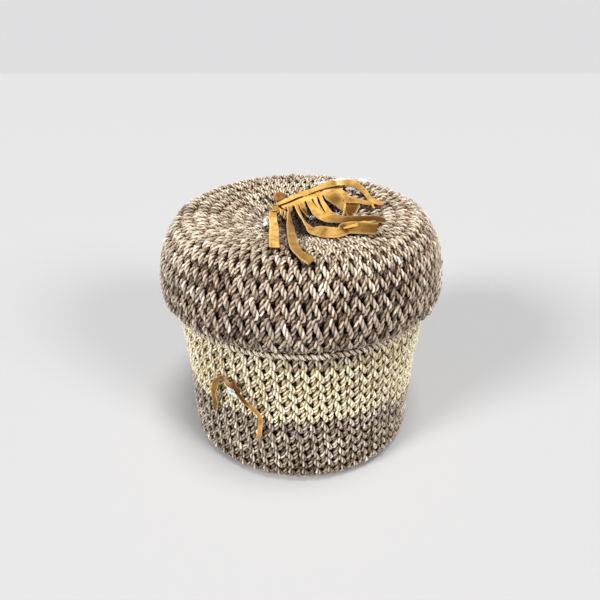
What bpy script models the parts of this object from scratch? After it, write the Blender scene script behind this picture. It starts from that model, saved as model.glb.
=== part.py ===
"""Round knitted basket with a puffed, tufted lid and a leather fringe.

Metres, +Z up. The origin is on the ground under the middle of the base, and the front faces -Y.
The basket is knitted from thick twisted cord: a flat base, a foot band and a pale upper band, and
a cast-off edge. The lid is a knitted cap over a round pad, drawn in at its hem and at its middle.
"""
import math

import bmesh
import bpy
from mathutils import Matrix, Vector

# Driving dimensions, in metres
FIT_GAP = 0.0003            # left between two pieces that touch
SEGMENTS = 52               # sides of every turned piece

WALL_THICKNESS = 0.0080     # knitted fabric of the basket
BASE_THICKNESS = 0.0085
FOOT_RADIUS = 0.1003
FOOT_CORNER = 0.0110
WAIST_RADIUS = 0.1006
WAIST_HEIGHT = 0.0630
SHOULDER_RADIUS = 0.1032    # the wall swells just under the lid
SHOULDER_DROP = 0.0130      # from the neck down to the shoulder
NECK_RADIUS = 0.0995        # where the lid's hem grips
MOUTH_RADIUS = 0.0975
BASKET_HEIGHT = 0.1475      # top of the wall, under its edge cord
YARN_CHANGE_HEIGHT = 0.0600
EDGE_CORD_RADIUS = 0.0025   # cast-off edge of the basket and of the lid

LID_RADIUS = 0.1150
LID_THICKNESS = 0.0070      # knitted fabric of the lid
LID_OVERLAP = 0.0311        # from the seat on the mouth down to the lid's edge cord
HEM_CLEARANCE = 0.0006      # between the lid's hem and the neck
BULGE_RISE = 0.0145         # from the hem up to the widest row
CREST_RISE = 0.0417         # from the seat up to the crest
CREST_RADIUS = 0.0880
DIMPLE_DEPTH = 0.0175
SLUMP = 0.09                # rise of the crest for each metre towards the back
CENTRE_RADIUS = 0.0270      # gathered centre, in darker yarn
PAD_CLEARANCE = 0.0005

LEATHER_THICKNESS = 0.0014
LEATHER_LIFT = 0.0005       # between the leather and what it lies on
STRIP_WIDTH = 0.0062
SLIT_WIDTH = 0.0009
BAND_WIDTH = 0.0090         # uncut part of the fringe, above its strips
LACE_WIDTH = 0.0060
FRONT_TAIL_WIDTH = 0.0070
BACK_TAIL_WIDTH = 0.0060
TIE_WIDTH_LEFT = 0.0045
TIE_WIDTH_RIGHT = 0.0036
STRAP_STEP = 0.0050         # between two points along a strap
FRINGE_KNOT_SIZE = 0.0014   # a trefoil knot is three of these in radius
TIE_KNOT_SIZE = 0.0012
KNOT_CORD_SHARE = 0.66      # radius of a knot's cord, in knot sizes

# Where the leather lies on the lid, seen from above: x, y
FRINGE_ROOT = [(-0.0140, 0.0300), (-0.0053, 0.0338), (0.0056, 0.0385), (0.0150, 0.0440), (0.0257, 0.0462),
               (0.0400, 0.0462)]
FRINGE_STRIPS = [
    [(-0.0107, 0.0223), (-0.0100, 0.0092), (-0.0088, -0.0083), (-0.0070, -0.0450), (-0.0043, -0.0780),
     (0.0000, -0.0900), (0.0060, -0.0950)],
    [(-0.0034, 0.0250), (-0.0010, 0.0150), (0.0018, 0.0053), (0.0060, -0.0070), (0.0090, -0.0155),
     (0.0128, -0.0260), (0.0181, -0.0380), (0.0242, -0.0425), (0.0299, -0.0400), (0.0350, -0.0370),
     (0.0402, -0.0405), (0.0460, -0.0450), (0.0530, -0.0490)],
    [(0.0024, 0.0300), (0.0042, 0.0240)],
    [(0.0093, 0.0300), (0.0135, 0.0190), (0.0190, 0.0097), (0.0255, 0.0020), (0.0338, -0.0058),
     (0.0466, -0.0150), (0.0546, -0.0205), (0.0622, -0.0250)],
    [(0.0154, 0.0355), (0.0170, 0.0300)],
    [(0.0221, 0.0351), (0.0257, 0.0226), (0.0269, 0.0170)],
    [(0.0285, 0.0405), (0.0306, 0.0335), (0.0330, 0.0262), (0.0345, 0.0185), (0.0344, 0.0110)],
    [(0.0378, 0.0360), (0.0401, 0.0270), (0.0412, 0.0195), (0.0445, 0.0140), (0.0490, 0.0140), (0.0532, 0.0160),
     (0.0568, 0.0140)],
]
FRINGE_KNOT = (-0.0230, 0.0235)
LACE_ROUTE = [(-0.0221, 0.0309), (-0.0169, 0.0361), (-0.0054, 0.0450), (0.0065, 0.0510), (0.0177, 0.0547),
              (0.0266, 0.0564), (0.0346, 0.0569), (0.0425, 0.0552), (0.0482, 0.0491), (0.0529, 0.0414),
              (0.0568, 0.0299), (0.0582, 0.0180), (0.0600, 0.0100), (0.0658, 0.0103)]
FRONT_TAIL_ROUTE = [(-0.0245, 0.0165), (-0.0236, 0.0040), (-0.0220, -0.0119), (-0.0203, -0.0400),
                    (-0.0185, -0.0667), (-0.0178, -0.0760)]
BACK_TAIL_ROUTE = [(-0.0235, 0.0385), (-0.0195, 0.0445), (-0.0120, 0.0470)]

# Where the tie lies on the wall: along the wall from its knot, and up from its knot
TIE_ANGLE = math.radians(-118.5)
TIE_HEIGHT = 0.0915
TIE_LEFT_ROUTE = [(-0.0053, 0.0009), (-0.0086, 0.0022), (-0.0129, -0.0010), (-0.0179, -0.0074),
                  (-0.0200, -0.0142), (-0.0201, -0.0206), (-0.0216, -0.0278), (-0.0250, -0.0380)]
TIE_RIGHT_ROUTE = [(0.0030, -0.0049), (0.0057, -0.0081), (0.0098, -0.0128), (0.0136, -0.0159),
                   (0.0172, -0.0197), (0.0197, -0.0240), (0.0204, -0.0299), (0.0195, -0.0381),
                   (0.0173, -0.0470)]

# Heights that follow from the driving dimensions
MOUTH_CORD_Z = BASKET_HEIGHT + FIT_GAP + EDGE_CORD_RADIUS
SEAT_Z = MOUTH_CORD_Z + EDGE_CORD_RADIUS + FIT_GAP
RIM_CORD_Z = SEAT_Z - LID_OVERLAP
HEM_Z = RIM_CORD_Z + EDGE_CORD_RADIUS + FIT_GAP
WIDEST_Z = HEM_Z + BULGE_RISE
CREST_Z = SEAT_Z + CREST_RISE
NECK_Z = RIM_CORD_Z - EDGE_CORD_RADIUS / 2
SHOULDER_Z = NECK_Z - SHOULDER_DROP
HEM_RADIUS = NECK_RADIUS + HEM_CLEARANCE

CREAM = (0.62, 0.50, 0.31)
TAUPE = (0.34, 0.26, 0.18)
TAN = (0.50, 0.40, 0.26)
BROWN = (0.25, 0.17, 0.10)
DARK_BROWN = (0.10, 0.065, 0.04)
WHITE = (0.80, 0.79, 0.75)
OCHRE = (0.52, 0.27, 0.05)
RUST = (0.28, 0.11, 0.03)


def clear_scene():
    for item in list(bpy.data.objects):
        bpy.data.objects.remove(item, do_unlink=True)


def material(name, colour, roughness):
    """A plain dyed or natural surface."""
    made = bpy.data.materials.new(name)
    made.use_nodes = True
    shader = made.node_tree.nodes["Principled BSDF"]
    shader.inputs["Base Color"].default_value = (*colour, 1.0)
    shader.inputs["Roughness"].default_value = roughness
    shader.inputs["Metallic"].default_value = 0.0
    return made


def new_object(name, data, colour, roughness, group):
    item = bpy.data.objects.new(name, data)
    item.data.materials.append(material(name, colour, roughness))
    group.objects.link(item)
    return item


def shade_smooth(mesh):
    mesh.shade_smooth()
    mesh.set_sharp_from_angle(angle=math.radians(50))


def eased(stations, at):
    """The value at a height, easing from one (height, value) station to the next."""
    for (low, first), (high, second) in zip(stations, stations[1:]):
        if at <= high:
            share = max(0.0, (at - low) / (high - low))
            return first + (second - first) * (1 - math.cos(math.pi * share)) / 2
    return stations[-1][1]


def wall_radius(height):
    """Outer radius of the basket's wall: a rounded foot, a waist, a shoulder and the drawn-in mouth."""
    if height < FOOT_CORNER:
        return FOOT_RADIUS - FOOT_CORNER + math.sqrt(FOOT_CORNER**2 - (FOOT_CORNER - height) ** 2)
    stations = [
        (FOOT_CORNER, FOOT_RADIUS),
        (WAIST_HEIGHT, WAIST_RADIUS),
        (SHOULDER_Z, SHOULDER_RADIUS),
        (NECK_Z, NECK_RADIUS),
        (BASKET_HEIGHT, MOUTH_RADIUS),
    ]
    return eased(stations, height)


def spaced(first, last, count):
    """count + 1 values from first to last."""
    return [first + (last - first) * i / count for i in range(count + 1)]


def lathe(name, profile, ring, colour, roughness, group):
    """Turns a profile of (radius, height) points about Z. A ring's profile closes on itself."""
    points = [(radius, 0.0, height) for radius, height in profile]
    edges = [(i, i + 1) for i in range(len(points) - 1)]
    if ring:
        edges.append((len(points) - 1, 0))
    mesh = bpy.data.meshes.new(name)
    mesh.from_pydata(points, edges, [])
    item = new_object(name, mesh, colour, roughness, group)
    screw = item.modifiers.new("turn", "SCREW")
    screw.axis = "Z"
    screw.angle = 2 * math.pi
    screw.screw_offset = 0
    screw.steps = SEGMENTS
    screw.render_steps = SEGMENTS
    screw.use_merge_vertices = True
    screw.merge_threshold = 0.00001
    screw.use_smooth_shade = True
    return item


def slump_shift(y, height):
    """How far the lid's soft top is raised at the back, or let down at the front."""
    share = min(1.0, max(0.0, (height - SEAT_Z) / (CREST_Z - SEAT_Z)))
    return SLUMP * y * share


def slumped(item):
    """Applies an object's modifiers and leans the part of it above the seat forward."""
    graph = bpy.context.evaluated_depsgraph_get()
    mesh = bpy.data.meshes.new_from_object(item.evaluated_get(graph))
    for vertex in mesh.vertices:
        vertex.co.z += slump_shift(vertex.co.y, vertex.co.z)
    shade_smooth(mesh)
    item.modifiers.clear()
    item.data = mesh
    return item


def crown_height(radius, inset=0.0):
    """Height of the lid's top: a dimple in the middle, up to the crest, and over to the widest row."""
    if radius <= CREST_RADIUS:
        dip = DIMPLE_DEPTH * (1 + math.cos(math.pi * radius / CREST_RADIUS)) / 2
        return CREST_Z - inset - dip
    across = LID_RADIUS - inset - CREST_RADIUS
    share = min(1.0, (radius - CREST_RADIUS) / across)
    return WIDEST_Z + (CREST_Z - inset - WIDEST_Z) * math.sqrt(1 - share**2)


def crown_top(first_radius, inset, count):
    """Points of the dimple from a radius out to the crest."""
    return [(radius, crown_height(radius, inset)) for radius in spaced(first_radius, CREST_RADIUS, count)]


def crown_side(inset, count, lowest=0.0):
    """Points of a quarter ellipse from the crest down to the widest row, or to a height above it."""
    points = []
    for angle in spaced(0.0, math.pi / 2, count)[1:]:
        radius = CREST_RADIUS + (LID_RADIUS - inset - CREST_RADIUS) * math.sin(angle)
        height = WIDEST_Z + (CREST_Z - inset - WIDEST_Z) * math.cos(angle)
        if height > lowest:
            points.append((radius, height))
    return points


def crown_skirt(inset, count):
    """Points of a quarter ellipse from the widest row down and in to the hem."""
    points = []
    for angle in spaced(math.pi / 2, 0.0, count)[1:]:
        radius = HEM_RADIUS + (LID_RADIUS - inset - HEM_RADIUS) * math.sin(angle)
        height = WIDEST_Z - (WIDEST_Z - HEM_Z - inset) * math.cos(angle)
        points.append((radius, height))
    return points


def lid_point(x, y, lift):
    """A point above the lid's outer surface, measured square to it, and the surface's normal."""
    step = 0.0004

    def surface(u, v):
        height = crown_height(math.hypot(u, v))
        return Vector((u, v, height + slump_shift(v, height)))

    along_x = surface(x + step, y) - surface(x - step, y)
    along_y = surface(x, y + step) - surface(x, y - step)
    normal = along_x.cross(along_y).normalized()
    return surface(x, y) + normal * lift, normal


def wall_point(along, up, lift):
    """A point outside the wall, from its distance along and up from the tie's knot, and the normal."""
    height = TIE_HEIGHT + up
    angle = TIE_ANGLE + along / wall_radius(height)
    slope = (wall_radius(height + 0.0005) - wall_radius(height - 0.0005)) / 0.001
    normal = Vector((math.cos(angle), math.sin(angle), -slope)).normalized()
    radius = wall_radius(height)
    point = Vector((radius * math.cos(angle), radius * math.sin(angle), height))
    return point + normal * lift, normal


def smooth_route(points, step):
    """Points about a step apart on the Catmull-Rom curve through a route's own points."""
    places = [Vector((*point, 0.0)) for point in points]
    ends = [places[0] * 2 - places[1], *places, places[-1] * 2 - places[-2]]
    route = []
    for before, start, end, after in zip(ends, ends[1:], ends[2:], ends[3:]):
        count = max(1, round((end - start).length / step))
        for i in range(count):
            t = i / count
            route.append(
                (start * 2 + (end - before) * t
                 + (before * 2 - start * 5 + end * 4 - after) * t**2
                 + (start * 3 - before - end * 3 + after) * t**3) / 2
            )
    route.append(places[-1])
    return [(place.x, place.y) for place in route]


def strap_edges(route, surface, lift, width_at):
    """The left and right edge points of a flat strap that follows a route over a surface."""
    places = [surface(u, v, lift) for u, v in route]
    edges = []
    for i, (centre, normal) in enumerate(places):
        ahead = places[min(i + 1, len(places) - 1)][0]
        behind = places[max(i - 1, 0)][0]
        side = normal.cross(ahead - behind).normalized()
        half = width_at(i / (len(places) - 1)) / 2
        edges.append((centre + side * half, centre - side * half))
    return edges


def thicken(item):
    """Gives an open leather surface its thickness, half to each side."""
    solid = item.modifiers.new("thickness", "SOLIDIFY")
    solid.thickness = LEATHER_THICKNESS
    solid.offset = 0.0
    solid.use_even_offset = True
    return item


def strap(name, route, surface, lift, width_at, colour, group):
    """A flat leather strap with square ends."""
    edges = strap_edges(smooth_route(route, STRAP_STEP), surface, lift, width_at)
    points = [point for pair in edges for point in pair]
    faces = [(2 * i, 2 * i + 1, 2 * i + 3, 2 * i + 2) for i in range(len(edges) - 1)]
    mesh = bpy.data.meshes.new(name)
    mesh.from_pydata(points, [], faces)
    return thicken(new_object(name, mesh, colour, 0.85, group))


def root_place(distance):
    """The place at a distance along the line where the fringe's strips begin, and its direction."""
    line = [Vector(place) for place in smooth_route(FRINGE_ROOT, STRAP_STEP / 2)]
    for start, end in zip(line, line[1:]):
        length = (end - start).length
        if distance <= length or end == line[-1]:
            way = (end - start).normalized()
            return start + way * distance, way
        distance -= length


def fringe_hide(group):
    """One piece of hide: a band laid along the back of the dimple, cut into strips below it."""
    middle = LEATHER_LIFT + LEATHER_THICKNESS / 2
    work = bmesh.new()
    upper, lower = [], []
    for i in range(len(FRINGE_STRIPS)):
        for share in (0.0, 1.0):
            place, way = root_place(i * (STRIP_WIDTH + SLIT_WIDTH) + share * STRIP_WIDTH)
            back = place + Vector((-way.y, way.x)) * BAND_WIDTH
            lower.append(work.verts.new(lid_point(place.x, place.y, middle)[0]))
            upper.append(work.verts.new(lid_point(back.x, back.y, middle)[0]))
    for i in range(len(lower) - 1):
        work.faces.new((lower[i], lower[i + 1], upper[i + 1], upper[i]))
    for i, places in enumerate(FRINGE_STRIPS):
        root = root_place(i * (STRIP_WIDTH + SLIT_WIDTH) + STRIP_WIDTH / 2)[0]
        route = smooth_route([(root.x, root.y), *places], STRAP_STEP)
        edges = strap_edges(route, lid_point, middle, lambda share: STRIP_WIDTH)
        last = (lower[2 * i + 1], lower[2 * i])
        for left, right in edges[1:]:
            fresh = (work.verts.new(left), work.verts.new(right))
            work.faces.new((last[1], fresh[1], fresh[0], last[0]))
            last = fresh
    bmesh.ops.recalc_face_normals(work, faces=work.faces)
    mesh = bpy.data.meshes.new("fringe_hide")
    work.to_mesh(mesh)
    work.free()
    return thicken(new_object("fringe_hide", mesh, OCHRE, 0.85, group))


def knot(name, size, place, normal, colour, group):
    """A trefoil knot of thong, lying flat against the surface that carries it."""
    count = 42
    curve = bpy.data.curves.new(name, "CURVE")
    curve.dimensions = "3D"
    spline = curve.splines.new("POLY")
    spline.points.add(count - 1)
    spline.use_cyclic_u = True
    for i, point in enumerate(spline.points):
        t = 2 * math.pi * i / count
        reach = size * (2 + math.cos(3 * t))
        point.co = (reach * math.cos(2 * t), reach * math.sin(2 * t), size * math.sin(3 * t), 1.0)
    curve.bevel_depth = size * KNOT_CORD_SHARE
    curve.bevel_resolution = 1
    item = new_object(name, curve, colour, 0.8, group)
    turn = Vector((0, 0, 1)).rotation_difference(normal).to_matrix().to_4x4()
    item.matrix_world = Matrix.Translation(place) @ turn
    return item


def knot_lift(size):
    """How far a knot's middle lies from the surface that carries it."""
    return size * (1 + KNOT_CORD_SHARE) + LEATHER_LIFT


def edge_cord(name, radius, height, colour, group):
    """The cast-off edge of a piece of knitting: one ring of cord."""
    bpy.ops.mesh.primitive_torus_add(
        major_segments=SEGMENTS,
        minor_segments=8,
        major_radius=radius,
        minor_radius=EDGE_CORD_RADIUS,
        location=(0, 0, height),
    )
    item = bpy.context.object
    item.name = name
    item.data.name = name
    for holder in list(item.users_collection):
        holder.objects.unlink(item)
    group.objects.link(item)
    item.data.materials.append(material(name, colour, 0.9))
    shade_smooth(item.data)
    return item


def wall_band(name, bottom, top, count, colour, group):
    """A band of the basket's wall: its outer side from top to bottom, then its inner side."""
    heights = spaced(top, bottom, count)
    outer = [(wall_radius(height), height) for height in heights]
    inner = [(wall_radius(max(height, FOOT_CORNER)) - WALL_THICKNESS, height) for height in heights[::-2]]
    if inner[-1][1] != top:
        inner.append((wall_radius(top) - WALL_THICKNESS, top))
    return lathe(name, outer + inner, True, colour, 0.9, group)


def basket_base(group):
    """The flat knitted bottom, with the lower part of the rounded foot."""
    profile = [(0.0, BASE_THICKNESS), (wall_radius(BASE_THICKNESS), BASE_THICKNESS)]
    for angle in spaced(math.pi / 2, 0.0, 8):
        height = FOOT_CORNER * (1 - math.cos(angle))
        if height < BASE_THICKNESS:
            profile.append((FOOT_RADIUS - FOOT_CORNER * (1 - math.sin(angle)), height))
    profile.append((0.0, 0.0))
    return lathe("basket_base", profile, False, TAN, 0.9, group)


def make_basket(group):
    basket_base(group)
    wall_band("basket_foot_band", BASE_THICKNESS + FIT_GAP, YARN_CHANGE_HEIGHT, 6, TAUPE, group)
    wall_band("basket_upper_band", YARN_CHANGE_HEIGHT + FIT_GAP, BASKET_HEIGHT, 11, CREAM, group)
    mouth_radius = MOUTH_RADIUS - WALL_THICKNESS / 2
    edge_cord("basket_mouth_edge", mouth_radius, MOUTH_CORD_Z, CREAM, group)


def make_tie(group):
    """A thong knotted through the front of the wall, with two hanging tails."""
    place, normal = wall_point(0.0, 0.0, knot_lift(TIE_KNOT_SIZE))
    knot("tie_knot", TIE_KNOT_SIZE, place, normal, RUST, group)
    lift = LEATHER_LIFT + LEATHER_THICKNESS / 2
    strap("tie_tail_left", TIE_LEFT_ROUTE, wall_point, lift,
          lambda share: TIE_WIDTH_LEFT * (1 - 0.5 * share**3), OCHRE, group)
    strap("tie_tail_right", TIE_RIGHT_ROUTE, wall_point, lift,
          lambda share: TIE_WIDTH_RIGHT * (1 - 0.4 * share**4), OCHRE, group)


def lid_crown(group):
    """The knitted cap, open below and at its gathered middle."""
    outer = crown_top(CENTRE_RADIUS + FIT_GAP, 0.0, 7) + crown_side(0.0, 8) + crown_skirt(0.0, 5)
    inner = (crown_top(CENTRE_RADIUS + FIT_GAP, LID_THICKNESS, 5)
             + crown_side(LID_THICKNESS, 6) + crown_skirt(LID_THICKNESS, 3))
    return slumped(lathe("lid_crown", outer + inner[::-1], True, BROWN, 0.9, group))


def lid_centre(group):
    """The gathered middle of the lid, a disc of darker yarn at the bottom of the dimple."""
    upper = [(radius, crown_height(radius)) for radius in spaced(0.0, CENTRE_RADIUS, 3)]
    lower = [(radius, crown_height(radius, LID_THICKNESS)) for radius in spaced(CENTRE_RADIUS, 0.0, 3)]
    return slumped(lathe("lid_centre", upper + lower, False, DARK_BROWN, 0.9, group))


def lid_padding(group):
    """The round pad that puffs the lid out and rests on the basket's mouth."""
    inset = LID_THICKNESS + PAD_CLEARANCE
    side = crown_side(inset, 8, SEAT_Z)
    profile = crown_top(0.0, inset, 6) + side + [(side[-1][0], SEAT_Z), (0.0, SEAT_Z)]
    return slumped(lathe("lid_padding", profile, False, WHITE, 0.95, group))


def make_lid(group):
    lid_crown(group)
    lid_centre(group)
    lid_padding(group)
    edge_cord("lid_rim_edge", HEM_RADIUS + EDGE_CORD_RADIUS, RIM_CORD_Z, CREAM, group)


def make_fringe(group):
    """The fringed hide, the lace along its top, and the lace's knot and two tails."""
    fringe_hide(group)
    low = LEATHER_LIFT + LEATHER_THICKNESS / 2
    high = low + LEATHER_THICKNESS + LEATHER_LIFT
    strap("fringe_lace", LACE_ROUTE, lid_point, high, lambda share: LACE_WIDTH, OCHRE, group)
    strap("lace_front_tail", FRONT_TAIL_ROUTE, lid_point, low, lambda share: FRONT_TAIL_WIDTH, OCHRE, group)
    strap("lace_back_tail", BACK_TAIL_ROUTE, lid_point, low,
          lambda share: BACK_TAIL_WIDTH * (1 - 0.7 * share), RUST, group)
    place, normal = lid_point(*FRINGE_KNOT, knot_lift(FRINGE_KNOT_SIZE))
    knot("fringe_knot", FRINGE_KNOT_SIZE, place, normal, OCHRE, group)


def main():
    clear_scene()
    group = bpy.data.collections.new("lidded_basket")
    bpy.context.scene.collection.children.link(group)
    make_basket(group)
    make_tie(group)
    make_lid(group)
    make_fringe(group)


main()
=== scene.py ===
"""Round basket knitted from thick twisted cord, with a puffed lid and a leather fringe.

Metres, +Z up, the front faces -Y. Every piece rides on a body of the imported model.
"""
import math

import bpy
import numpy as np
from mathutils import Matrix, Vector


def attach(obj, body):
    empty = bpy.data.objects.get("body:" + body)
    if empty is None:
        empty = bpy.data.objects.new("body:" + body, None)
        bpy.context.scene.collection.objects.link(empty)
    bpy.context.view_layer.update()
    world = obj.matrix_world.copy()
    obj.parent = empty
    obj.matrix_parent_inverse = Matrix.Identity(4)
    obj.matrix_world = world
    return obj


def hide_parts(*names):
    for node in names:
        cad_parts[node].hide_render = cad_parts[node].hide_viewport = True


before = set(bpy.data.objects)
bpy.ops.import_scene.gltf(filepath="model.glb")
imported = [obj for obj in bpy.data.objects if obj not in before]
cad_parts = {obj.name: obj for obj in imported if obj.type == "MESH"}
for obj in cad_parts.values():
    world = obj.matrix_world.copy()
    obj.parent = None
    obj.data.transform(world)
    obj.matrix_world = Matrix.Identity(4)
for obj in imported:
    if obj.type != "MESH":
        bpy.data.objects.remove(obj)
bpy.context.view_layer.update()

TAU = 2 * math.pi

# Camera: its place, tilt and lens in mm follow from the photograph
CAMERA_PLACE, CAMERA_DOWN = (-0.00115, -0.3511, 0.2913), math.radians(27.08)
CAMERA_LENS, CAMERA_SENSOR = 27.03, 36.0
FAR = 40.0

# Sizes of the part
FOOT_R, FOOT_CORNER = 0.1003, 0.011
WALL_STATIONS = [(0.011, 0.1003), (0.063, 0.1006), (0.10775, 0.1032), (0.12075, 0.0995), (0.1475, 0.0975)]
MOUTH_Z, MOUTH_CORD_Z, MOUTH_CORD_R = 0.1475, 0.1503, 0.0935
HEM_R, HEM_Z = 0.1001, 0.1248
RIM_Z, RIM_R = 0.122, 0.1026
LID_R, WIDEST_Z = 0.115, 0.1393
CREST_R, CREST_Z = 0.088, 0.1948
DIMPLE, SLUMP, SEAT_Z = 0.0175, 0.09, 0.1531
PAD_INSET = 0.0078

# Cord: the points round it are three for each ply, the first of them in the groove
CORD_R, CORD_LAY = 0.00212, 0.012
PLIES = 3
CORD_SIDES = 3 * PLIES
GROOVE_REACH = 0.58
PLY_PLACES = np.array([0.0, 0.3, 0.7])
SHADE_DEPTH = 0.006
EDGE_LAY = 0.0085

# Leather
LEATHER, THONG = 0.0014, 0.0011
SKIN_GAP = 0.0004
STRIP, SLIT, BAND = 0.0062, 0.0009, 0.009
TIE_ANGLE, TIE_HEIGHT = math.radians(-118.5), 0.0915
KNOT_PLACE = (-0.023, 0.0235)
TENTHS = 10000


# -------- lines and surfaces

def unit(vectors):
    return vectors / np.linalg.norm(vectors, axis=-1, keepdims=True)


def run_along(line):
    """The distance along a line from its first point to each point."""
    return np.concatenate([[0], np.cumsum(np.linalg.norm(np.diff(line, axis=0), axis=1))])


def ease(at, places, values):
    """The value of stations at some places, with cosine easing between them."""
    i = np.clip(np.searchsorted(places, at, side="right") - 1, 0, len(places) - 2)
    share = np.clip((at - places[i]) / (places[i + 1] - places[i]), 0, 1)
    return values[i] + (values[i + 1] - values[i]) * (1 - np.cos(np.pi * share)) / 2


def round_about(radius, angle, height):
    """Points from their distance from the part's upright axis, their angle about it and their height."""
    return np.stack(np.broadcast_arrays(radius * np.cos(angle), radius * np.sin(angle), height), axis=-1)


def wall_radius(height):
    """Outer radius of the wall: a quarter circle at the foot, then cosine easing between stations."""
    wall = ease(height, *np.array(WALL_STATIONS).T)
    drop = np.clip(FOOT_CORNER - height, 0, FOOT_CORNER)
    return np.where(drop > 0, FOOT_R - FOOT_CORNER + np.sqrt(FOOT_CORNER**2 - drop**2), wall)


def crown_height(radius, inset=0.0):
    """Height of the lid's top, or of an inset copy: a cosine dip inside the crest, a quarter ellipse outside."""
    dip = DIMPLE * (1 + np.cos(np.pi * np.clip(radius / CREST_R, 0, 1))) / 2
    share = np.clip((radius - CREST_R) / (LID_R - inset - CREST_R), 0, 1)
    side = WIDEST_Z + (CREST_Z - inset - WIDEST_Z) * np.sqrt(1 - share**2)
    return np.where(radius <= CREST_R, CREST_Z - dip - inset, side)


def line_of(radius, height, side):
    """A meridian as arrays of length along it, radius, height and outward normal."""
    points = np.stack([radius, height], axis=1)
    step = np.diff(points, axis=0)
    length = np.concatenate([[0], np.cumsum(np.hypot(step[:, 0], step[:, 1]))])
    way = unit(np.gradient(points, length, axis=0))
    return {"s": length, "r": points[:, 0], "z": points[:, 1], "nr": side * way[:, 1], "nz": -side * way[:, 0]}


def basket_line():
    """From the middle of the bottom out, round the foot and up the wall to the mouth."""
    turn = np.linspace(0, np.pi / 2, 14)
    flat = np.linspace(0, FOOT_R - FOOT_CORNER, 40)[:-1]
    up = np.linspace(FOOT_CORNER, MOUTH_Z, 150)[1:]
    radius = np.concatenate([flat, FOOT_R - FOOT_CORNER * (1 - np.sin(turn)), wall_radius(up)])
    height = np.concatenate([flat * 0, FOOT_CORNER * (1 - np.cos(turn)), up])
    return line_of(radius, height, 1)


def lid_line():
    """From the middle of the dimple out over the crest, down to the widest row and in to the hem."""
    top = np.linspace(0, CREST_R, 90)[:-1]
    turn = np.linspace(0, np.pi / 2, 60)
    side_r = CREST_R + (LID_R - CREST_R) * np.sin(turn)
    side_z = WIDEST_Z + (CREST_Z - WIDEST_Z) * np.cos(turn)
    back = turn[::-1][1:]
    skirt_r = HEM_R + (LID_R - HEM_R) * np.sin(back)
    skirt_z = WIDEST_Z - (WIDEST_Z - HEM_Z) * np.cos(back)
    radius = np.concatenate([top, side_r, skirt_r])
    height = np.concatenate([crown_height(top), side_z, skirt_z])
    return line_of(radius, height, -1)


def slump(points):
    """Leans what lies above the seat forward: z grows by SLUMP times y, in full at the crest."""
    share = np.clip((points[:, 2] - SEAT_Z) / (CREST_Z - SEAT_Z), 0, 1.3)
    points = points.copy()
    points[:, 2] += SLUMP * points[:, 1] * share
    return points


def on_line(line, angle, along, out):
    """Points on a meridian's surface of revolution, moved out along its normal, and the normals."""
    radius, height, nr, nz = (np.interp(along, line["s"], line[key]) for key in ("r", "z", "nr", "nz"))
    return round_about(radius + out * nr, angle, height + out * nz), unit(round_about(nr, angle, nz))


def on_lid(x, y, lift):
    """Points over the leaning top of the lid, lifted square to it, and the normals."""
    def surface(u, v):
        return slump(np.stack([u, v, crown_height(np.hypot(u, v))], axis=1))

    step = 0.0004
    normal = unit(np.cross(surface(x + step, y) - surface(x - step, y), surface(x, y + step) - surface(x, y - step)))
    return surface(x, y) + normal * lift[:, None], normal


def on_wall(along, up, lift):
    """Points outside the wall, from the distance along and up from the tie's knot, and the normals."""
    height = TIE_HEIGHT + up
    radius = wall_radius(height)
    angle = TIE_ANGLE + along / radius
    slope = (wall_radius(height + 0.0005) - wall_radius(height - 0.0005)) / 0.001
    normal = unit(round_about(1, angle, -slope))
    return round_about(radius, angle, height) + normal * lift[:, None], normal


# -------- mesh making

def mesh_object(name, points, quads, uv=None, **values):
    """An object from arrays: points (n, 3), faces (m, 4), uv (corners, 2) and named point values."""
    mesh = bpy.data.meshes.new(name)
    faces = np.asarray(quads, np.int32)
    count, sides = faces.shape
    mesh.vertices.add(len(points))
    mesh.vertices.foreach_set("co", np.asarray(points, np.float32).ravel())
    mesh.loops.add(count * sides)
    mesh.loops.foreach_set("vertex_index", faces.ravel())
    mesh.polygons.add(count)
    mesh.polygons.foreach_set("loop_start", np.arange(0, count * sides, sides, dtype=np.int32))
    mesh.polygons.foreach_set("loop_total", np.full(count, sides, np.int32))
    mesh.update(calc_edges=True)
    mesh.polygons.foreach_set("use_smooth", np.ones(count, bool))
    if uv is not None:
        mesh.uv_layers.new(name="surface").data.foreach_set("uv", np.asarray(uv, np.float32).ravel())
    for key, value in values.items():
        mesh.attributes.new(key, "FLOAT", "POINT").data.foreach_set("value", np.asarray(value, np.float32))
    mesh.validate()
    made = bpy.data.objects.new(name, mesh)
    bpy.context.scene.collection.objects.link(made)
    return made


def dress(piece, body, slot, *replaced, look=None):
    """Gives a piece its material, that of its slot or another one, sets it on its body and hides the model's nodes
    that it replaces.
    """
    piece.data.materials.append(MATERIALS[look or slot])
    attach(piece, body)
    if replaced:
        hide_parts(*replaced)
    return piece


def tube_faces(rings, sides, closed=False, turned=0):
    """Faces between rings of points, and their rings and sides. Where closed, the last ring joins the first
    one turned by some points."""
    i, k = np.meshgrid(np.arange(rings if closed else rings - 1), np.arange(sides), indexing="ij")
    after, move = (i + 1) % rings * sides, np.where(i == rings - 1, turned, 0)
    corners = [i * sides + k, i * sides + (k + 1) % sides, after + (k + 1 + move) % sides, after + (k + move) % sides]
    return np.stack(corners, axis=-1).reshape(-1, 4), i, k


def corner_uv(u, next_u, v, next_v):
    """The places on the surface of the four corners of each face of a tube."""
    return np.stack([u, v, u, next_v, next_u, next_v, next_u, v], axis=-1).reshape(-1, 2)


def join(parts):
    """The arrays of several parts end to end, with the second array, the faces, counted on."""
    points, faces, *rest = zip(*parts)
    starts = np.cumsum([0] + [len(p) for p in points[:-1]])
    return [np.concatenate(a) for a in (points, [f + start for f, start in zip(faces, starts)], *rest)]


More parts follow.
